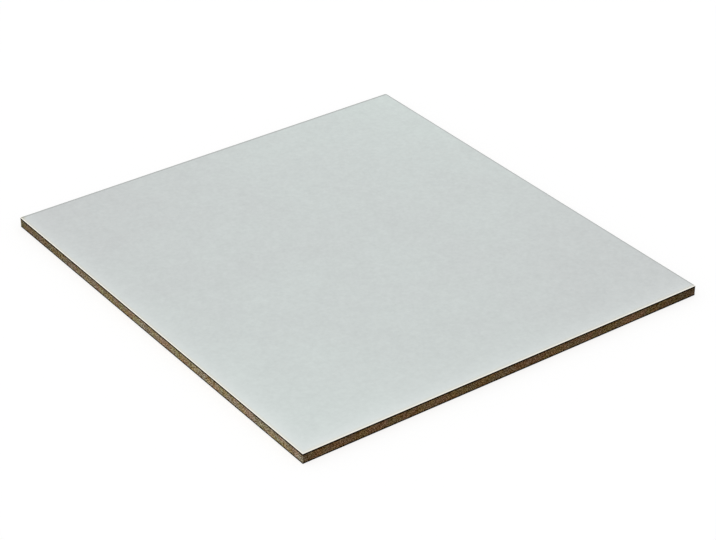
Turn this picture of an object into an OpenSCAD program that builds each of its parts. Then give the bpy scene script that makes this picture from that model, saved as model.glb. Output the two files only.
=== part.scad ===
// White-faced MDF board: a sawn rectangle of medium-density fibreboard, raw on its edges and back,
// with a thin white decor facing bonded to its top and trimmed flush by the same saw cuts.
// Millimetres. Z is up through the thickness, Y runs along the length, X across the width.
// The origin is the centre of the raw back, which the board lies on.

/* [Board] */
// Width across the board
board_width = 260; // [100:10:1220]
// Length along the board
board_length = 280; // [100:10:2440]
// Thickness of the finished board, facing included
board_thickness = 6; // [3:0.5:25]

/* [Facing] */
// Thickness of the white facing
facing_thickness = 0.2; // [0.1:0.05:0.8]

/* [Sawn edges] */
// Radius that handling has worn on the four upright corners
corner_radius = 0.5; // [0.2:0.1:5]
// Width of the eased arris round the raw back
back_arris = 0.15; // [0.1:0.05:1]
// Width of the crisp arris round the white face
face_arris = 0.08; // [0.02:0.02:0.2]

/* [Hidden] */
$fn = 64;

// The fibreboard fills the thickness that the facing leaves.
panel_thickness = board_thickness - facing_thickness;
// An arris never takes more than half of the layer that it is cut into.
panel_ease = min(back_arris, panel_thickness / 2);
facing_ease = min(face_arris, facing_thickness / 2);

fibreboard_colour = "#A68C67";
facing_colour = "#CBD0CE";

// The board's outline from above: a rectangle with its four corners worn round.
module board_outline() {
    inner_width = board_width - 2 * corner_radius;
    inner_length = board_length - 2 * corner_radius;
    square([board_width, inner_length], center = true);
    square([inner_width, board_length], center = true);
    for (side = [-1, 1], end = [-1, 1])
        translate([side * inner_width / 2, end * inner_length / 2])
            circle(r = corner_radius);
}

// A layer's cross section, eased by a 45 degree slope on its lower edges. The slopes run on
// past the sawn faces, so that the outline alone sets where the sides are.
module eased_section(span, thickness, ease) {
    overrun = thickness;
    polygon([
        [-span / 2 + ease, 0],
        [span / 2 - ease, 0],
        [span / 2 + overrun, ease + overrun],
        [-span / 2 - overrun, ease + overrun],
    ]);
}

// One flat layer of the board, from z = 0 up, with the arris eased all round its lower face.
module eased_layer(thickness, ease) {
    beyond = 2 * thickness;
    intersection() {
        linear_extrude(thickness) board_outline();
        // The section across the width, carried along the length.
        rotate([90, 0, 0])
            linear_extrude(board_length + beyond, center = true)
                eased_section(board_width, thickness, ease);
        // The section along the length, carried across the width.
        rotate([90, 0, 90])
            linear_extrude(board_width + beyond, center = true)
                eased_section(board_length, thickness, ease);
    }
}

// The sawn fibreboard, with its eased arris round the back.
module fibreboard_panel() {
    color(fibreboard_colour)
        eased_layer(panel_thickness, panel_ease);
}

// The white facing, flush with the sawn edges, with its crisp arris uppermost.
module white_facing() {
    color(facing_colour)
        translate([0, 0, board_thickness])
            mirror([0, 0, 1])
                eased_layer(facing_thickness, facing_ease);
}

fibreboard_panel();
white_facing();
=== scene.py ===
"""Looks of a white-faced MDF board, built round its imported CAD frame.

The real board is one sawn sheet of medium-density fibreboard with a thin white decor facing
bonded to its top. Two pieces stand for its two CAD nodes: the sawn fibreboard, raw on its edges
and its back, and the facing. Both are layers of the same outline, so one class makes the skin of
either. Every size and way is in millimetres, unless its description says that it is in metres.
"""

import logging
import math
from dataclasses import dataclass
from enum import Enum

import bpy
import numpy as np
from mathutils import Matrix, Vector


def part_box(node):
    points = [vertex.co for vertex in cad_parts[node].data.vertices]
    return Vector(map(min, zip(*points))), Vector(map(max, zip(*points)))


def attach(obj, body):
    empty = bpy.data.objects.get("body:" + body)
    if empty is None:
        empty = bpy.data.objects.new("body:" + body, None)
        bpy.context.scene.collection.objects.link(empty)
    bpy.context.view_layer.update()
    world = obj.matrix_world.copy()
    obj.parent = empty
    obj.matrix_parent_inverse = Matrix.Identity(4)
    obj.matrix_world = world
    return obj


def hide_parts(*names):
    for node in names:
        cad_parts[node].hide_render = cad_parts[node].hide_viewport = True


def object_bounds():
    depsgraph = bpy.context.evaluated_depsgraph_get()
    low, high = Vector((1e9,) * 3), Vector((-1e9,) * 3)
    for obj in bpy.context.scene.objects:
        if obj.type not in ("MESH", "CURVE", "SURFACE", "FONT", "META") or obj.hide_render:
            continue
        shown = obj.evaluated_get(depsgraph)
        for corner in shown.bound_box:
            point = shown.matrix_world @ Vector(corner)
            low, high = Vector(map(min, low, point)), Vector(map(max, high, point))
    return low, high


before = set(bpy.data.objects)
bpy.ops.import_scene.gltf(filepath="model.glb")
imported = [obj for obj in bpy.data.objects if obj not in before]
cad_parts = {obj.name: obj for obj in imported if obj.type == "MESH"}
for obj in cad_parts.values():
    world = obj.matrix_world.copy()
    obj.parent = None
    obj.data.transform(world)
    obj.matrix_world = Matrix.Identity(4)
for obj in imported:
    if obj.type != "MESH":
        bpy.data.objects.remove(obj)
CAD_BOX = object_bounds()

MM = 0.001
BODY = "root"
BAKE_MAP = "OFBake"
LOG = logging.getLogger("white_faced_board")

# A link starts from a socket, or from a node's first output in use.
Node = bpy.types.Node
Source = Node | bpy.types.NodeSocket
Tree = bpy.types.NodeTree

# Settings of a Mix node: one colour covers another, or tints it by multiplying.
COVER = {"data_type": "RGBA"}
TINT = {"data_type": "RGBA", "blend_type": "MULTIPLY"}


class Side(Enum):
    """The four sawn sides, in the order in which the outline visits them."""

    FRONT = 0
    RIGHT = 1
    BACK = 2
    LEFT = 3


class Finish(Enum):
    """The two finishes of the fibreboard, as places in its list of materials."""

    SAWN = 0
    SANDED = 1


# ---------------------------------------------------------------- numbers and patterns


def linear(code: str) -> tuple[float, float, float, float]:
    """Turns an sRGB hex colour to linear light, by the standard's straight foot and power of 2.4.

    Args:
        code: The colour as #RRGGBB.

    Returns:
        Red, green and blue in linear light, and an alpha of 1.
    """
    shares = [int(code[place : place + 2], 16) / 255 for place in (1, 3, 5)]
    lights = [s / 12.92 if s <= 0.04045 else ((s + 0.055) / 1.055) ** 2.4 for s in shares]
    return (*lights, 1.0)


def grain(
    rng: np.random.Generator,
    shape: tuple[int, int],
    spacing: tuple[float, float],
    size: tuple[float, float],
) -> np.ndarray:
    """Makes noise whose grains have a real size: white noise under a Gaussian low-pass.

    The pass is a product in the Fourier transform, so the noise closes on itself both ways.

    Args:
        rng: The seeded source of the white noise.
        shape: Rows and columns.
        spacing: Millimetres from one row, and from one column, to the next.
        size: Spread of a grain down the rows and along the columns.

    Returns:
        An array of that shape, with a mean of 0 and a spread of 1.
    """
    down = np.fft.fftfreq(shape[0], spacing[0])[:, None] * size[0]
    along = np.fft.rfftfreq(shape[1], spacing[1])[None, :] * size[1]
    low_pass = np.exp(-2 * np.pi**2 * (down**2 + along**2))
    noise = np.fft.irfft2(np.fft.rfft2(rng.standard_normal(shape)) * low_pass, s=shape)
    return (noise - noise.mean()) / noise.std()


# ---------------------------------------------------------------- outline and layers


@dataclass(frozen=True)
class Outline:
    """The board's outline from above, a rectangle with worn corners, as rings of points.

    A ring starts at the front left corner and runs anticlockwise. Its steps are even along a
    side and close up towards the corners. A coarser ring takes every second point, every fourth
    and so on, so that it meets a finer one point to point.

    Attributes:
        width: Size across X.
        length: Size along Y.
        height: Height of the board's face above its back.
        worn: Radius that handling has worn on the upright corner where each side ends.
        cell: Size of a cell of the coarse grid on a face.
        halvings: How often the number of fine steps is halved to reach that grid.
        closing: Share that a step loses at a corner.
        closing_steps: Steps in which that share falls off.
    """

    width: float
    length: float
    height: float
    worn: tuple[float, float, float, float] = (0.15, 1.2, 0.4, 0.2)
    cell: float = 8.0
    halvings: int = 4
    closing: float = 0.75
    closing_steps: float = 6.0

    def cells(self) -> tuple[int, int]:
        """Gives the coarse cells across the width and along the length."""
        return round(self.width / self.cell), round(self.length / self.cell)

    def steps(self) -> tuple[int, int]:
        """Gives the fine steps across the width and along the length."""
        across, along = self.cells()
        return across << self.halvings, along << self.halvings

    def side_places(self, count: int) -> np.ndarray:
        """Spreads points along one side: the running sum of steps that shrink at both ends.

        A step is 1, less the closing share times a falling exponential from each end.

        Args:
            count: How many steps the side has.

        Returns:
            count + 1 places that rise from -1 to 1.
        """
        step = np.arange(count)
        near_end = np.exp(-step / self.closing_steps) + np.exp(-step[::-1] / self.closing_steps)
        places = np.concatenate([[0.0], np.cumsum(1 - self.closing * near_end)])
        return 2 * places / places[-1] - 1

    def square(self) -> np.ndarray:
        """Places the finest ring on the square from -1 to 1.

        Returns:
            x and y of each point, one row for each.
        """
        across, along = (self.side_places(count)[:-1] for count in self.steps())
        left, front = np.full_like(along, -1), np.full_like(across, -1)
        sides = ((across, front), (-left, along), (-across, -front), (left, -along))
        return np.concatenate([np.stack(side, axis=1) for side in sides])

    def arc(self) -> np.ndarray:
        """Adds up the lengths of the outline's steps.

        Returns:
            Each point's way along the outline from the front left corner.
        """
        ring = self.square() * (self.width / 2, self.length / 2)
        steps = np.linalg.norm(np.roll(ring, -1, axis=0) - ring, axis=1)
        return np.concatenate([[0.0], np.cumsum(steps)[:-1]])

    def ring(self, inset: np.ndarray | float, every: int = 1) -> np.ndarray:
        """Places a ring that lies inside the outline.

        A point of the square is scaled to the rectangle that the inset leaves. Its part beyond
        the centre of its own corner's arc is drawn in to that arc's radius.

        Args:
            inset: How far inside the outline, alone or with the ring's points on its last axis.
            every: Takes every so many points of the finest ring.

        Returns:
            x and y of each point on the last axis.
        """
        square = self.square()[::every]
        inset = np.broadcast_to(inset, np.broadcast_shapes(np.shape(inset), (len(square),)))
        half = np.array([self.width, self.length]) / 2 - inset[..., None]
        on_right, on_far = square[:, 0] > 0, square[:, 1] > 0
        near_ending = np.where(on_right, Side.FRONT.value, Side.LEFT.value)
        far_ending = np.where(on_right, Side.RIGHT.value, Side.BACK.value)
        worn = np.array(self.worn)[np.where(on_far, far_ending, near_ending)]
        radius = np.clip(worn - inset, 0, None)[..., None]
        place = square * half
        centre = np.clip(place, radius - half, half - radius)
        reach = place - centre
        distance = np.linalg.norm(reach, axis=-1, keepdims=True)
        return centre + reach * radius / np.where(distance > 0, distance, 1)


@dataclass(frozen=True)
class Region:
    """A rectangle of the unit square, which part of a surface is laid out in.

    Attributes:
        left: Its lowest u.
        bottom: Its lowest v.
        across: Its size in u.
        up: Its size in v.
    """

    left: float
    bottom: float
    across: float
    up: float

    def put(self, shares: np.ndarray) -> np.ndarray:
        """Moves places on the unit square, u and v on the last axis, into the rectangle."""
        return shares * (self.across, self.up) + (self.left, self.bottom)


@dataclass(frozen=True)
class Layout:
    """How a layer is laid out flat: four strips for its sawn sides, and its two faces.

    Each strip takes the whole width of the map and is drawn taller than true, so that the
    grain across a thin edge stays sharp. The face that shows gets the rest, and the face that
    lies in the glue line only a corner.

    Attributes:
        strip: Height of a side's strip.
        hidden: Side of the hidden face's square.
        top_shows: Whether the layer's upper face is the one that shows.
        gap: Room between neighbours.
    """

    strip: float
    hidden: float
    top_shows: bool
    gap: float = 0.006

    def sides(self) -> list[Region]:
        """Stacks a strip for each of the four sides.

        Returns:
            The regions of the strips, from the bottom of the map up.
        """
        pitch = self.strip + self.gap
        return [
            Region(self.gap, self.gap + side.value * pitch, 1 - 2 * self.gap, self.strip)
            for side in Side
        ]

    def faces(self) -> tuple[Region, Region]:
        """Shares the rest of the map between the two faces.

        Returns:
            The regions of the lower and the upper face.
        """
        floor = self.gap + len(Side) * (self.strip + self.gap)
        room = 1 - self.gap - floor
        seen = Region(2 * self.gap + self.hidden, floor, 1 - 3 * self.gap - self.hidden, room)
        unseen = Region(self.gap, floor, self.hidden, self.hidden)
        return (unseen, seen) if self.top_shows else (seen, unseen)


@dataclass(frozen=True)
class Patch:
    """Faces of one region of a skin.

    Attributes:
        corners: Point numbers, one row for each face.
        places: u and v of each of those corners.
        material: Place in the piece's list of materials.
    """

    corners: np.ndarray
    places: np.ndarray
    material: int


@dataclass(frozen=True)
class Layer:
    """A flat layer of the board as one closed skin: a band round its edge and two faces.

    The band is a profile carried round the outline. It runs from the rim of the lower face up
    to the rim of the upper one. Each face is closed by rings that halve their points, down to
    a plain grid.

    Attributes:
        outline: The outline that the band follows.
        insets: How far inside the outline each point of the band lies, rows by columns.
        heights: Height of each row.
        layout: How the skin is laid out flat.
        side_material: Place of the band's finish in the piece's list of materials.
        face_material: The same for both faces.
        first_ring: Width of a face's first ring. Each later ring is twice as wide.
    """

    outline: Outline
    insets: np.ndarray
    heights: np.ndarray
    layout: Layout
    side_material: int = 0
    face_material: int = 0
    first_ring: float = 0.6

    def band_points(self) -> np.ndarray:
        """Gives the band's points, row by row from the lower rim up."""
        heights = np.broadcast_to(self.heights[:, None], self.insets.shape)
        return np.dstack([self.outline.ring(self.insets), heights]).reshape(-1, 3)

    def band(self) -> Patch:
        """Joins the band's rows and columns with quads.

        On the map, a quad lies in its own side's strip. The way along the side is u and the
        share of the band's rows is v.

        Returns:
            The quads of the band, which face outwards.
        """
        rows, columns = self.insets.shape
        number = np.arange(rows * columns).reshape(rows, columns)
        right = np.roll(number, -1, axis=1)
        corners = np.stack([number[:-1], right[:-1], right[1:], number[1:]], axis=-1)
        counts = np.tile(self.outline.steps(), 2)
        side = np.repeat(np.arange(len(Side)), counts)
        starts = np.concatenate([np.arange(count) / count for count in counts])
        # A quad's corners lie none or one step along, and none or one row up.
        along = starts[:, None] + np.array([0, 1, 1, 0]) / counts[side][:, None]
        up = (np.arange(rows - 1)[:, None] + np.array([0, 0, 1, 1])) / (rows - 1)
        shares = np.stack(np.broadcast_arrays(along, up[:, None]), axis=-1)
        places = np.empty_like(shares)
        for strip, region in enumerate(self.layout.sides()):
            places[:, side == strip] = region.put(shares[:, side == strip])
        return Patch(corners.reshape(-1, 4), places.reshape(-1, 4, 2), self.side_material)

    def face(
        self, rim: np.ndarray, inset: float, height: float, first: int
    ) -> tuple[np.ndarray, np.ndarray, np.ndarray]:
        """Closes one face from its rim inwards, as seen from above.

        Ring k lies inside the rim by the first ring's width times one less than 2 to the power
        k, and has half the points of the ring before. The last ring is the border of a grid.

        Args:
            rim: Point numbers of the rim.
            inset: How far inside the outline the rim lies.
            height: Height of the face.
            first: Number of the first new point.

        Returns:
            The new points, the triangles of the rings and the quads of the grid.
        """
        points, triangles = [], []
        outer = rim
        for level in range(1, self.outline.halvings + 1):
            depth = inset + self.first_ring * (2**level - 1)
            ring = self.outline.ring(depth, every=2**level)
            inner = first + np.arange(len(ring))
            even, odd = outer[0::2], outer[1::2]
            ahead, next_even = np.roll(inner, -1), np.roll(even, -1)
            fans = (even, odd, inner), (odd, ahead, inner), (odd, next_even, ahead)
            triangles += [np.stack(fan, axis=1) for fan in fans]
            points.append(ring)
            first += len(ring)
            outer = inner
        across, along = self.outline.cells()
        front, right, back, left = np.split(outer, np.cumsum([across, along, across]))
        inside = first + np.arange((across - 1) * (along - 1))
        number = np.pad(inside.reshape(along - 1, across - 1), 1)
        number[0, :-1], number[:-1, -1] = front, right
        number[-1, :0:-1], number[:0:-1, 0] = back, left
        inside_x, inside_y = ring[1:across, 0], ring[across + 1 : across + along, 1]
        points.append(np.stack(np.meshgrid(inside_x, inside_y), axis=-1).reshape(-1, 2))
        flat = np.concatenate(points)
        level_points = np.column_stack([flat, np.full(len(flat), height)])
        quads = np.stack(
            [number[:-1, :-1], number[:-1, 1:], number[1:, 1:], number[1:, :-1]], axis=-1
        )
        return level_points, np.concatenate(triangles), quads.reshape(-1, 4)

    def build(self, name: str, materials: list[bpy.types.Material]) -> bpy.types.Object:
        """Makes the closed skin as a mesh object in the row frame.

        Args:
            name: Name of the piece.
            materials: Its finishes, in the order of the patches' numbers.

        Returns:
            The object, smooth except across sharp arrises, with its map for baking.
        """
        rows, columns = self.insets.shape
        points = self.band_points()
        patches = [self.band()]
        span = np.array([self.outline.width, self.outline.length])
        for row, region in zip((0, rows - 1), self.layout.faces()):
            rim = row * columns + np.arange(columns)
            inset = self.insets[row].max()
            added, triangles, quads = self.face(rim, inset, self.heights[row], len(points))
            points = np.concatenate([points, added])
            shares = points[:, :2] / span + 0.5
            for corners in (triangles, quads):
                turned = corners[:, ::-1] if row == 0 else corners
                patches.append(Patch(turned, region.put(shares[turned]), self.face_material))
        return make_piece(name, points * MM, patches, materials)


def put_in(name: str, data: bpy.types.ID) -> bpy.types.Object:
    """Makes an object at the origin from its data and links it to the scene.

    Args:
        name: Name of the object.
        data: Its mesh, lamp or camera.

    Returns:
        The object.
    """
    made = bpy.data.objects.new(name, data)
    bpy.context.scene.collection.objects.link(made)
    return made


def make_piece(
    name: str, points: np.ndarray, patches: list[Patch], materials: list[bpy.types.Material]
) -> bpy.types.Object:
    """Puts points and patches into a new mesh object at the origin.

    Args:
        name: Name of the object and its mesh.
        points: x, y and z of each point, in metres.
        patches: The faces, with their places on the map and their materials.
        materials: The finishes that the patches' numbers stand for.

    Returns:
        The object, linked to the scene.
    """
    sharp_angle = math.radians(28)
    mesh = bpy.data.meshes.new(name)
    mesh.from_pydata(points, [], [face for patch in patches for face in patch.corners.tolist()])
    for material in materials:
        mesh.materials.append(material)
    numbers = np.concatenate([np.full(len(p.corners), p.material) for p in patches])
    mesh.polygons.foreach_set("material_index", numbers.astype(np.int32))
    places = np.concatenate([patch.places.reshape(-1) for patch in patches])
    layer = mesh.uv_layers.new(name=BAKE_MAP)
    layer.uv.foreach_set("vector", places.astype(np.float32))
    mesh.shade_smooth()
    mesh.set_sharp_from_angle(angle=sharp_angle)
    mesh.validate()
    return put_in(name, mesh)


# ---------------------------------------------------------------- finishes


def add(
    tree: Tree,
    kind: str,
    inputs: dict[str, object] | list[object] | None = None,
    **settings: object,
) -> Node:
    """Adds a node with its settings, its values and its links.

    Args:
        tree: The node tree that it goes into.
        kind: The node's type, without the leading ShaderNode.
        inputs: What its inputs take, by name, or as a list in the order of those in use. A node
            or a socket is linked, and anything else is a value.
        settings: The node's own properties.

    Returns:
        The new node.
    """
    node = tree.nodes.new("ShaderNode" + kind)
    for setting, value in settings.items():
        setattr(node, setting, value)
    if isinstance(inputs, dict):
        taken = [(node.inputs[name], value) for name, value in inputs.items()]
    else:
        taken = zip([socket for socket in node.inputs if socket.enabled], inputs or [])
    for socket, value in taken:
        if isinstance(value, Node):
            value = next(output for output in value.outputs if output.enabled)
        if isinstance(value, bpy.types.NodeSocket):
            tree.links.new(value, socket)
        else:
            socket.default_value = value
    return node


def new_material(name: str) -> tuple[bpy.types.Material, Tree]:
    """Makes a material with an empty node tree.

    Args:
        name: Name of the material.

    Returns:
        The material and its tree.
    """
    material = bpy.data.materials.new(name)
    material.use_nodes = True
    material.node_tree.nodes.clear()
    return material, material.node_tree


@dataclass(frozen=True)
class Speckle:
    """Noise whose grains have a real size, stretched so that most of it runs from 0 to 1.

    Attributes:
        size: Size of a grain along each axis.
        spread: Half of the range of the raw noise, about its middle of 0.5, that is stretched.
        detail: How many times noise of half the size is added.
        seed: Where in the endless noise the piece lies.
        finer: Strength of each finer noise, as a share of the one before.
    """

    size: tuple[float, float, float]
    spread: float
    detail: float = 1.0
    seed: float = 0.0
    finer: float = 0.7

    def over(self, tree: Tree, place: Source) -> Node:
        """Adds the noise to a tree.

        Args:
            tree: Node tree to add to.
            place: The place in metres that the noise reads.

        Returns:
            The node that gives the share.
        """
        scale = [1 / (extent * MM) for extent in self.size]
        mapping = {"Vector": place, "Location": (self.seed,) * 3, "Scale": scale}
        moved = add(tree, "Mapping", mapping)
        noise = {"Vector": moved, "Scale": 1.0, "Detail": self.detail, "Roughness": self.finer}
        limits = [add(tree, "TexNoise", noise), 0.5 - self.spread, 0.5 + self.spread]
        return add(tree, "MapRange", limits, clamp=False)


@dataclass(frozen=True)
class Sheen:
    """How a finish takes the light.

    Attributes:
        roughness: Its roughness.
        relief: Depth of its bump.
        bump_share: Share of that bump that is used.
        gloss: Its specular level, where 0.5 is what its refractive index gives.
        ior: Its refractive index.
    """

    roughness: float
    relief: float
    bump_share: float = 1.0
    gloss: float = 0.5
    ior: float = 1.5

    def close(self, tree: Tree, colour: Source, height: Source) -> None:
        """Ends a finish's tree with its bump, its surface and the output.

        Args:
            tree: Node tree to add to.
            colour: The finish's colour.
            height: The share of the bump's depth.
        """
        bump = {"Height": height, "Distance": self.relief * MM, "Strength": self.bump_share}
        surface = {
            "Base Color": colour,
            "Roughness": self.roughness,
            "IOR": self.ior,
            "Specular IOR Level": self.gloss,
            "Normal": add(tree, "Bump", bump),
        }
        add(tree, "OutputMaterial", {"Surface": add(tree, "BsdfPrincipled", surface)})


@dataclass(frozen=True)
class DarkerCorner:
    """A corner towards which the sawn edge is drawn darker.

    Attributes:
        corner: Which way the corner lies from the middle, across X and along Y.
        reach: How far the dark spreads from the corner.
        keep: Share of the light that is left at the corner itself.
    """

    corner: tuple[int, int]
    reach: float
    keep: float


@dataclass(frozen=True)
class SawnFibreboard:
    """MDF as the saw leaves it: wood fibre pressed hot with resin, cut across.

    The eye sees a brown that is darkest in the two dense skins next to the faces, short fibre
    ends lying in slanted saw marks, patches of a redder, a more olive, a greyer and a yellower
    brown, a painted sheen that greys the left side where the key lamp falls, and darkening
    towards two corners.

    Attributes:
        pale: Colour of the pale fibre ends.
        dark: Colour of the dark fibre ends and bark specks.
        marks: The saw marks. Real ones and fibre ends are 0.1 to 0.4 mm, too fine to show at
            arm's length, so both are drawn coarser.
        mark_slant: How far a mark leans for each millimetre of height.
        flecks: The fibre ends.
        fleck_share: Share of the fibre ends in the mix of the two.
        patches: Two kinds of patches, each with the two tints that it runs between.
        skin: Colour of the two dense skins, which are dark with resin.
        skin_depth: Depths at which a skin starts to turn to core and has done so.
        painted_sheen: Colour of the painted sheen of the key lamp on the left side.
        painted_sheen_share: Share of the dark and the pale ends that the sheen hides there.
        painted_sheen_turn: Way round the left corners in which the painted sheen ends.
        darker_corners: Where the edge darkens: broadly towards two corners, and close to each.
        sheen: The dull torn fibre, whose bump is the marks and fibre ends.
    """

    pale: str = "#EECAAF"
    dark: str = "#7F5815"
    marks: Speckle = Speckle((0.5, 0.5, 1.8), spread=0.05, detail=0.0)
    mark_slant: float = 0.9
    flecks: Speckle = Speckle((0.42,) * 3, spread=0.045, detail=0.0, seed=5.0)
    fleck_share: float = 0.4
    patches: tuple[tuple[Speckle, str, str], ...] = (
        (Speckle((7.0,) * 3, spread=0.13, seed=11.0), "#FDEDDC", "#EDF6E5"),
        (Speckle((7.0,) * 3, spread=0.13, seed=23.0), "#F3F0F1", "#F3F2D2"),
    )
    skin: str = "#1C1404"
    skin_depth: tuple[float, float] = (0.55, 1.05)
    # Painted sheen on the left side, standing for the key lamp's sheen.
    painted_sheen: str = "#F4EEE5"
    painted_sheen_share: tuple[float, float] = (0.03, 0.73)
    painted_sheen_turn: float = 1.0
    darker_corners: tuple[DarkerCorner, ...] = (
        DarkerCorner((-1, 1), 125.0, 0.54),
        DarkerCorner((1, -1), 45.0, 0.62),
        DarkerCorner((-1, 1), 2.0, 0.5),
        DarkerCorner((1, -1), 2.0, 0.5),
    )
    sheen: Sheen = Sheen(roughness=0.9, relief=0.12, gloss=0.0)

    def fibres(self, tree: Tree, place: Source, height: Source) -> Node:
        """Adds the saw marks and the fibre ends.

        A mark leans, so its slant times the height is added to both ways along the edges.

        Args:
            tree: Node tree to add to.
            place: The place in metres on the piece.
            height: Its height.

        Returns:
            The node that gives how pale the fibre is, from 0 to 1.
        """
        lean = add(tree, "Math", [height, self.mark_slant], operation="MULTIPLY")
        leaning = add(tree, "CombineXYZ", [lean, lean])
        leant = add(tree, "VectorMath", [place, leaning], operation="ADD")
        marks = self.marks.over(tree, leant)
        return add(tree, "Mix", [self.fleck_share, marks, self.flecks.over(tree, place)])

    def material(self, outline: Outline, low: float, high: float) -> bpy.types.Material:
        """Makes the material for a sawn edge.

        Args:
            outline: The board's outline, whose middle is at the origin.
            low: Height of the board's back, in metres.
            high: Height of the glue line, in metres.

        Returns:
            The finished material.
        """
        made, tree = new_material("mdf_sawn_edge")
        place = add(tree, "TexCoord").outputs["Object"]
        across, _, height = add(tree, "SeparateXYZ", [place]).outputs
        half = np.array([outline.width, outline.length]) * MM / 2
        fibre = self.fibres(tree, place, height)
        colour = add(tree, "Mix", [fibre, linear(self.dark), linear(self.pale)], **COVER)
        # Painted sheen: a pale veil on the left side only, where the key lamp falls,
        # and most on the pale ends.
        on_side = add(tree, "MapRange", [across, self.painted_sheen_turn * MM - half[0], -half[0]])
        sheen_veil = add(tree, "MapRange", [fibre, 0.0, 1.0, *self.painted_sheen_share])
        share = add(tree, "Math", [on_side, sheen_veil], operation="MULTIPLY")
        colour = add(tree, "Mix", [share, colour, linear(self.painted_sheen)], **COVER)
        for patch, one, other in self.patches:
            share = patch.over(tree, place)
            tint = add(tree, "Mix", [share, linear(one), linear(other)], **COVER)
            colour = add(tree, "Mix", [1.0, colour, tint], **TINT)
        # The depth below the nearer face tells the dense skins from the core.
        above = add(tree, "Math", [height, low], operation="SUBTRACT")
        below = add(tree, "Math", [high, height], operation="SUBTRACT")
        depth = add(tree, "Math", [above, below], operation="MINIMUM")
        limits = [depth, *(limit * MM for limit in self.skin_depth)]
        core = add(tree, "MapRange", limits, interpolation_type="SMOOTHSTEP")
        colour = add(tree, "Mix", [core, linear(self.skin), colour], **COVER)
        # The edge is drawn darker towards two corners, broadly and close to each.
        for spot in self.darker_corners:
            corner = (*(half * spot.corner), high)
            way = add(tree, "VectorMath", [place, corner], operation="DISTANCE")
            fade = {"Value": way, "From Max": spot.reach * MM, "To Min": spot.keep}
            colour = add(tree, "Mix", [1.0, colour, add(tree, "MapRange", fade)], **TINT)
        self.sheen.close(tree, colour, fibre)
        return made


@dataclass(frozen=True)
class SandedFibreboard:
    """MDF as the wide-belt sander leaves its back: its dense skin, smooth and raw.

    The eye sees an even tan with fine fibre flecks, faint lines along the length that the belt
    left, and soft clouds where the mat was denser.

    Attributes:
        pale: Colour of the pale fibres.
        dark: Colour of the dark fibres.
        flecks: The fibre flecks, drawn coarser than the real 0.2 mm.
        lines: The lines from the sanding belt.
        line_share: Share of the lines in the mix with the flecks.
        clouds: The clouds.
        cloud_share: Share of the clouds in the mix with both.
        sheen: The smooth skin, whose bump is the flecks and lines.
    """

    pale: str = "#B89F7B"
    dark: str = "#8E7552"
    flecks: Speckle = Speckle((0.7,) * 3, spread=0.17, detail=2.0)
    lines: Speckle = Speckle((0.5, 60.0, 60.0), spread=0.2)
    line_share: float = 0.35
    clouds: Speckle = Speckle((30.0,) * 3, spread=0.2)
    cloud_share: float = 0.25
    sheen: Sheen = Sheen(roughness=0.8, relief=0.03, bump_share=0.5, ior=1.45)

    def material(self) -> bpy.types.Material:
        """Makes the material for the raw back.

        Returns:
            The finished material.
        """
        made, tree = new_material("mdf_sanded_back")
        place = add(tree, "TexCoord").outputs["Object"]
        flecks, lines, clouds = (
            pattern.over(tree, place) for pattern in (self.flecks, self.lines, self.clouds)
        )
        fine = add(tree, "Mix", [self.line_share, flecks, lines])
        fibre = add(tree, "Mix", [self.cloud_share, fine, clouds])
        colour = add(tree, "Mix", [fibre, linear(self.dark), linear(self.pale)], **COVER)
        self.sheen.close(tree, colour, fine)
        return made


@dataclass(frozen=True)
class Rim:
    """A change of colour along a cut or round a corner.

    Attributes:
        colour: Its colour, or its tint.
        full: Way from the cut at which it starts to fade.
        gone: Way at which it has gone.
        tints: Whether it tints the white and doesn't cover it.
    """

    colour: str
    full: float
    gone: float
    tints: bool = False


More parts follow.
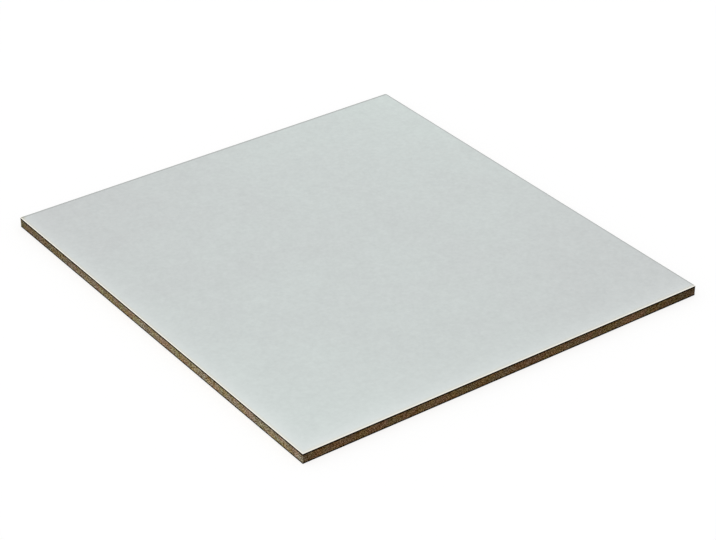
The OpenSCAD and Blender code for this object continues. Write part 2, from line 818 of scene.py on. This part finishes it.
@dataclass(frozen=True)
class MelaminePaper:
    """Decor paper soaked in melamine resin and pressed on hot: a cool white satin skin.

    The eye sees a nearly even grey white with the press plate's fine pearl texture and very soft
    clouds. Along the two near cuts, at the front and on the left, painted light brightens the
    paper, and a painted highlight makes the cut rim a warm white line. Along the two far edges,
    painted shade darkens the rim. The cut itself shows the dark resin that lies under the white.

    Attributes:
        white: Colour of the printed face at the left and the right corner.
        cool: Its cooler and lighter colour at the front and the back corner.
        clouds: The soft clouds.
        cloud_share: Share of the change from white to cool that they make anywhere.
        mottles: Each kind of mottling and its depth in light.
        light: Colour of the painted light on the face right beside a near cut.
        light_reach: Way from the cut in which that fades.
        corner_reach: Way from the front corner in which it fades along the cuts.
        far_light: Share of it that is left along the cuts far from there.
        light_pool: Share of that painted light that the whole face round that corner gets.
        cut: A painted highlight on a near rim, a warm white line.
        rim_light_warmth: A warm tint of the painted light on the paper beside a near rim.
        coarser: How much wider the painted rim light is on the front than on the left.
        turn: How much further down the front arris the white reaches.
        back_rim_shade: Painted shade on the rim at the back.
        right_rim_shade: Painted shade on the rim on the right.
        left_corner_tint: The left back corner, by which the face is tinted greyer.
        resin: Colour of the dark resin in the cut.
        resin_depth: Depth below the face at which the resin is full.
        pearl: The pearl texture. Its real grain is 0.2 mm and is drawn coarser.
        sheen: The satin face, whose bump is the pearl texture.
    """

    white: str = "#C7CACA"
    cool: str = "#D0D9D6"
    clouds: Speckle = Speckle((34.0,) * 3, spread=0.1, seed=3.0)
    cloud_share: float = 0.08
    mottles: tuple[tuple[Speckle, float], ...] = (
        (Speckle((8.0,) * 3, spread=0.2, detail=2.0), 0.04),
        (Speckle((2.6,) * 3, spread=0.2, detail=2.0), 0.075),
    )
    # Painted light beside the near cuts, strongest round the front corner.
    light: str = "#E2E8E7"
    light_reach: float = 6.5
    corner_reach: float = 100.0
    far_light: float = 0.5
    light_pool: float = 0.12
    # A painted highlight on the near rims, with a warm tint of painted light beside them.
    cut: Rim = Rim("#FFFBF0", full=0.45, gone=0.65)
    rim_light_warmth: Rim = Rim("#FFFBF4", full=0.9, gone=2.4, tints=True)
    coarser: float = 1.2
    turn: float = 0.08
    # Painted shade on the far rims.
    back_rim_shade: Rim = Rim("#B2B6B4", full=0.9, gone=1.7)
    right_rim_shade: Rim = Rim("#B2B6B4", full=0.5, gone=1.2)
    left_corner_tint: Rim = Rim("#E6E3D4", full=0.5, gone=4.5, tints=True)
    resin: str = "#120C02"
    resin_depth: float = 0.03
    pearl: Speckle = Speckle((0.6,) * 3, spread=0.25)
    sheen: Sheen = Sheen(roughness=0.42, relief=0.01, bump_share=0.5)

    def printed(self, tree: Tree, place: Source, half: Vector) -> Node:
        """Adds the printed white with its drift of colour and its mottling.

        The share of the cooler white is a half, plus half of the product of x and y, each as a
        share of its half side, plus a slow noise. So it grows towards the front and the back
        corner, and falls towards the other two.

        Args:
            tree: Node tree to add to.
            place: The place in metres on the piece.
            half: Half of the width and of the length, in metres.

        Returns:
            The node that gives the colour.
        """
        x, y, _ = add(tree, "SeparateXYZ", [place]).outputs
        product = add(tree, "Math", [x, y], operation="MULTIPLY")
        saddle = [product, 0.5 / (half.x * half.y), 0.5 - self.cloud_share / 2]
        slope = add(tree, "Math", saddle, operation="MULTIPLY_ADD")
        drift = [self.clouds.over(tree, place), self.cloud_share, slope]
        share = add(tree, "Math", drift, operation="MULTIPLY_ADD")
        colour = add(tree, "Mix", [share, linear(self.white), linear(self.cool)], **COVER)
        for mottle, depth in self.mottles:
            levels = [mottle.over(tree, place), 0.0, 1.0, 1 - depth / 2, 1 + depth / 2]
            light = add(tree, "MapRange", levels, clamp=False)
            colour = add(tree, "Mix", [1.0, colour, light], **TINT)
        return colour

    def lightened(self, tree: Tree, near_edge_way: Source, near: Source, colour: Source) -> Node:
        """Adds the painted light beside the near cuts, which is strongest by the front corner.

        Both shares fall off as e to the power of minus the way over the reach.

        Args:
            tree: Node tree to add to.
            near_edge_way: The way from the nearer of the front and the left cut.
            near: The way from the front corner.
            colour: The printed colour.

        Returns:
            The node that gives the lightened colour.
        """
        powers = (
            add(tree, "Math", [way, -1 / (reach * MM)], operation="MULTIPLY")
            for way, reach in ((near_edge_way, self.light_reach), (near, self.corner_reach))
        )
        edge, broad = (add(tree, "Math", [power], operation="EXPONENT") for power in powers)
        strength = add(tree, "MapRange", {"Value": broad, "To Min": self.far_light})
        light_pool = add(tree, "Math", [broad, self.light_pool], operation="MULTIPLY")
        glow = add(tree, "Math", [edge, strength, light_pool], operation="MULTIPLY_ADD")
        return add(tree, "Mix", [glow, colour, linear(self.light)], **COVER)

    def material(self, outline: Outline) -> bpy.types.Material:
        """Makes the material for the facing.

        Args:
            outline: The board's outline, whose middle is at the origin.

        Returns:
            The finished material.
        """
        made, tree = new_material("melamine_decor_paper")
        place = add(tree, "TexCoord").outputs["Object"]
        top = outline.height * MM
        half = Vector((outline.width, outline.length, 0.0)) * MM / 2
        from_near = add(tree, "VectorMath", [place, half], operation="ADD")
        from_far = add(tree, "VectorMath", [half, place], operation="SUBTRACT")
        left, front, height = add(tree, "SeparateXYZ", [from_near]).outputs
        right, back, _ = add(tree, "SeparateXYZ", [from_far]).outputs
        # The painted light and highlight reach further from the front cut than from the left.
        wider = add(tree, "Math", [front, 1 / self.coarser], operation="MULTIPLY")
        near_edge_way = add(tree, "Math", [left, wider], operation="MINIMUM")
        near, far = (
            add(tree, "VectorMath", [place, (-half.x, end, top)], operation="DISTANCE")
            for end in (-half.y, half.y)
        )
        colour = self.lightened(tree, near_edge_way, near, self.printed(tree, place, half))
        # Painted shade on the far rims, a greyer tint by the left back corner, then painted light
        # and a painted highlight on the near rims.
        for way, rim in (
            (back, self.back_rim_shade),
            (right, self.right_rim_shade),
            (far, self.left_corner_tint),
            (near_edge_way, self.rim_light_warmth),
            (near_edge_way, self.cut),
        ):
            limits = [way, rim.gone * MM, rim.full * MM]
            share = add(tree, "MapRange", limits, interpolation_type="SMOOTHSTEP")
            mixing = TINT if rim.tints else COVER
            colour = add(tree, "Mix", [share, colour, linear(rim.colour)], **mixing)
        # Its white also turns further over: away from the left cut, a point counts as higher.
        over = {"Value": left, "From Max": self.turn * MM, "To Max": self.turn * MM}
        raised = add(tree, "Math", [height, add(tree, "MapRange", over)], operation="ADD")
        share = add(tree, "MapRange", [raised, top, top - self.resin_depth * MM])
        colour = add(tree, "Mix", [share, colour, linear(self.resin)], **COVER)
        self.sheen.close(tree, colour, self.pearl.over(tree, place))
        return made


# ---------------------------------------------------------------- the board's two pieces


@dataclass(frozen=True)
class FibreboardPanel:
    """The sawn sheet of fibreboard, raw on its edges and its back.

    Attributes:
        outline: The board's outline.
        low: Height of the back.
        high: Height of the glue line.
        arris: Radius of the eased arris round the back.
        arris_rows: Rows that round that arris.
        row: Height of a row of the band.
        recess: How far the softer core stands back behind the dense skins.
        pluck: Spread of the hollows where the saw plucked fibre out.
        skin_pluck: Share of that spread at the skins. The middle has 1 more.
        fibre: Length and height of such a hollow.
        saw_mark: Spread of the saw marks.
        saw_pitch: Width of a saw mark.
        saw_slant: How far a saw mark leans for each millimetre of height.
        seed: Seed of the hollows and the marks.
        layout: How the skin is laid out flat.
    """

    outline: Outline
    low: float
    high: float
    arris: float = 0.08
    arris_rows: int = 4
    row: float = 0.24
    recess: float = 0.03
    pluck: float = 0.018
    skin_pluck: float = 0.3
    fibre: tuple[float, float] = (0.7, 0.25)
    saw_mark: float = 0.004
    saw_pitch: float = 0.6
    saw_slant: float = 0.9
    seed: int = 41
    layout: Layout = Layout(strip=0.062, hidden=0.06, top_shows=False)

    def profile(self) -> tuple[np.ndarray, np.ndarray]:
        """Gives the edge's plain profile: a quarter round at the back, then straight up.

        Returns:
            Inset and height of each row.
        """
        turn = np.linspace(0, np.pi / 2, self.arris_rows)
        rows = round((self.high - self.low - self.arris) / self.row)
        rise = np.linspace(self.low + self.arris, self.high, rows + 1)[1:]
        insets = np.concatenate([self.arris * (1 - np.sin(turn)), np.zeros(rows)])
        return insets, np.concatenate([self.low + self.arris * (1 - np.cos(turn)), rise])

    def relief(self, heights: np.ndarray) -> np.ndarray:
        """Gives how far the saw has worn each point of the edge in.

        It is the sum of three parts. The core stands back along half a sine wave from skin to
        skin. Hollows are the deep half of a grain as long and as high as a fibre bundle. Saw
        marks are a grain along the outline, moved along by the slant times the height.

        Args:
            heights: Height of each row.

        Returns:
            Depths of 0 and more, rows by columns.
        """
        rng = np.random.default_rng(self.seed)
        arc = self.outline.arc()
        spacing = arc[-1] / len(arc)
        share = np.clip((heights - self.low) / (self.high - self.low), 0, 1)[:, None]
        core = np.sin(np.pi * share)
        shape = (len(heights), len(arc))
        hollows = grain(rng, shape, (self.row, spacing), self.fibre[::-1]).clip(0, None)
        ring = grain(rng, (1, len(arc)), (1.0, spacing), (0.0, self.saw_pitch))[0]
        moved = arc[None, :] + self.saw_slant * heights[:, None]
        marks = np.interp(moved, arc, ring, period=arc[-1] + spacing)
        plucked = self.pluck * (self.skin_pluck + core) * hollows
        return self.recess * core + plucked + self.saw_mark * (marks - marks.min())

    def build(self) -> bpy.types.Object:
        """Builds the piece in its finishes, in place of its CAD node.

        Returns:
            The piece, which rides on the board's body.
        """
        insets, heights = self.profile()
        depth = insets[:, None] + self.relief(heights)
        finishes = [
            SawnFibreboard().material(self.outline, self.low * MM, self.high * MM),
            SandedFibreboard().material(),
        ]
        places = (Finish.SAWN.value, Finish.SANDED.value)
        layer = Layer(self.outline, depth, heights, self.layout, *places)
        piece = layer.build("sawn_fibreboard", finishes)
        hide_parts("fibreboard_panel")
        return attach(piece, BODY)


@dataclass(frozen=True)
class DecorFacing:
    """The white facing, bonded to the panel's top and trimmed flush by the same saw cuts.

    Attributes:
        outline: The board's outline.
        low: Height of the glue line.
        high: Height of the white face.
        arris: Radius of the crisp arris round the face.
        arris_rows: Rows that round that arris.
        nick: Spread of the nicks that the saw left in the arris.
        nick_length: Length of a nick.
        seed: Seed of the nicks.
        layout: How the skin is laid out flat.
    """

    outline: Outline
    low: float
    high: float
    arris: float = 0.08
    arris_rows: int = 4
    nick: float = 0.012
    nick_length: float = 0.8
    seed: int = 7
    layout: Layout = Layout(strip=0.012, hidden=0.06, top_shows=True)

    def build(self) -> bpy.types.Object:
        """Builds the piece in its finish, in place of its CAD node.

        The profile runs straight up from the glue line, and then round a quarter circle to the
        face. The nicks are the deep half of a grain along the outline.

        Returns:
            The piece, which rides on the board's body.
        """
        rng = np.random.default_rng(self.seed)
        turn = np.linspace(0, np.pi / 2, self.arris_rows)
        insets = np.concatenate([[0.0], self.arris * (1 - np.cos(turn))])
        heights = np.concatenate([[self.low], self.high - self.arris * (1 - np.sin(turn))])
        arc = self.outline.arc()
        spacing = arc[-1] / len(arc)
        ring = grain(rng, (1, len(arc)), (1.0, spacing), (0.0, self.nick_length))[0]
        depth = insets[:, None] + self.nick * ring.clip(0, None)
        layer = Layer(self.outline, depth, heights, self.layout)
        piece = layer.build("white_decor_facing", [MelaminePaper().material(self.outline)])
        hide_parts("white_facing")
        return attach(piece, BODY)


# ---------------------------------------------------------------- studio


@dataclass(frozen=True)
class Studio:
    """The plain pale floor, the soft light and the camera.

    Angles are in degrees, and lengths in metres. Azimuth 0 looks along +Y.

    Attributes:
        azimuth: Direction of the view.
        elevation: Height of the view above the floor.
        roll: Turn of the camera about its axis.
        distance: Way from the camera to the point that it looks at.
        aim: That point, from the middle of the board's back.
        lens: Focal length in millimetres, for a sensor 36 mm wide.
        key_level: Light of the key lamp on a level surface, where 1 shows a colour as written.
        key_from: Direction of the key lamp.
        key_softness: Angle that the key lamp fills.
        fill_level: Light of the surroundings on a level surface.
        bounce: Share of the light that the floor gives back to the board.
        white: Level at which the floor shows, past 1 so that it clips to white.
        shadow: Share of the floor's white that the board's shadow can take.
        floor_size: Side of the floor.
        clearance: Gap in millimetres that keeps the floor and the board's back off one plane.
    """

    azimuth: float = -36.268
    elevation: float = 31.756
    roll: float = 0.078
    distance: float = 1.2544
    aim: tuple[float, float] = (-0.00246, -0.01128)
    lens: float = 114.07
    key_level: float = 0.66
    key_from: tuple[float, float, float] = (-0.46, -0.03, 0.90)
    key_softness: float = 14.0
    fill_level: float = 0.27
    bounce: float = 0.22
    white: float = 1.005
    shadow: float = 0.9
    floor_size: float = 30.0
    clearance: float = 0.02

    def camera(self, middle: Vector) -> None:
        """Places the camera and makes it the scene's own.

        Args:
            middle: The middle of the board's back, in metres.
        """
        # A camera that is not turned looks straight down.
        turns = ((self.azimuth, "Z"), (90 - self.elevation, "X"), (self.roll, "Z"))
        turned = Matrix()
        for angle, axis in turns:
            turned @= Matrix.Rotation(math.radians(angle), 4, axis)
        back = turned.col[2].to_3d()
        place = middle + Vector((*self.aim, 0.0)) + back * self.distance
        camera = put_in("camera", bpy.data.cameras.new("camera"))
        camera.data.lens = self.lens
        camera.matrix_world = Matrix.Translation(place) @ turned
        bpy.context.scene.camera = camera

    def lights(self) -> None:
        """Sets the key lamp and the light of the surroundings, which alone casts shadows."""
        direction = Vector(self.key_from).normalized()
        lamp = bpy.data.lights.new("key_lamp", "SUN")
        lamp.energy = self.key_level * math.pi / direction.z
        lamp.angle = math.radians(self.key_softness)
        lamp.use_shadow = False
        key = put_in("key_lamp", lamp)
        key.matrix_world = direction.to_track_quat("Z", "Y").to_matrix().to_4x4()
        world = bpy.data.worlds.new("surroundings")
        world.use_nodes = True
        tree = world.node_tree
        tree.nodes.clear()
        strength = add(tree, "Mix", [self.seen_share(tree), self.fill_level, 1.0])
        shade = add(tree, "Background", [linear("#FFFFFF"), strength])
        add(tree, "OutputWorld", {"Surface": shade})
        bpy.context.scene.world = world

    @staticmethod
    def seen_share(tree: Tree) -> Node:
        """Gives 1 for rays that show the background, directly, in gloss or through glass.

        Args:
            tree: Node tree to add to.

        Returns:
            The node that gives the share.
        """
        path = add(tree, "LightPath")
        camera, glossy, through = (
            path.outputs[f"Is {kind} Ray"] for kind in ("Camera", "Glossy", "Transmission")
        )
        either = add(tree, "Math", [camera, glossy], operation="MAXIMUM")
        return add(tree, "Math", [either, through], operation="MAXIMUM")

    def floor(self, low: float) -> None:
        """Lays the floor, white to the eye but for the board's soft shadow.

        Args:
            low: Height of the board's back, in metres.
        """
        material, tree = new_material("pale_floor")
        lit = self.key_level + self.fill_level
        glow = add(tree, "Emission", {"Strength": self.white - self.shadow * lit})
        shaded = add(tree, "BsdfDiffuse", [(*(self.shadow,) * 3, 1.0)])
        bounced = add(tree, "BsdfDiffuse", [(*(self.bounce,) * 3, 1.0)])
        shown = add(tree, "AddShader", [glow, shaded])
        mixed = add(tree, "MixShader", [self.seen_share(tree), bounced, shown])
        add(tree, "OutputMaterial", {"Surface": mixed})
        half, level = self.floor_size / 2, low - self.clearance * MM
        corners = [(x * half, y * half, level) for x, y in ((-1, -1), (1, -1), (1, 1), (-1, 1))]
        mesh = bpy.data.meshes.new("floor")
        mesh.from_pydata(corners, [], [(0, 1, 2, 3)])
        mesh.materials.append(material)
        put_in("floor", mesh)

    def set_up(self) -> None:
        """Sets the whole studio round the board."""
        low, high = CAD_BOX
        middle = (low + high) / 2
        middle.z = low.z
        self.camera(middle)
        self.lights()
        self.floor(low.z)
        bpy.context.scene.view_settings.view_transform = "Standard"


def main() -> None:
    """Builds the studio and the board's pieces in order, and reports each piece."""
    logging.basicConfig(level=logging.INFO, format="%(name)s: %(message)s")
    Studio().set_up()
    panel_low, panel_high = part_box("fibreboard_panel")
    facing_low, facing_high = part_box("white_facing")
    span = (panel_high - panel_low) / MM
    outline = Outline(width=span.x, length=span.y, height=facing_high.z / MM)
    assemblies = (
        FibreboardPanel(outline, low=panel_low.z / MM, high=panel_high.z / MM),
        DecorFacing(outline, low=facing_low.z / MM, high=facing_high.z / MM),
    )
    for assembly in assemblies:
        piece = assembly.build()
        LOG.info("%s: %d faces", piece.name, len(piece.data.polygons))


if __name__ == "__main__":
    main()
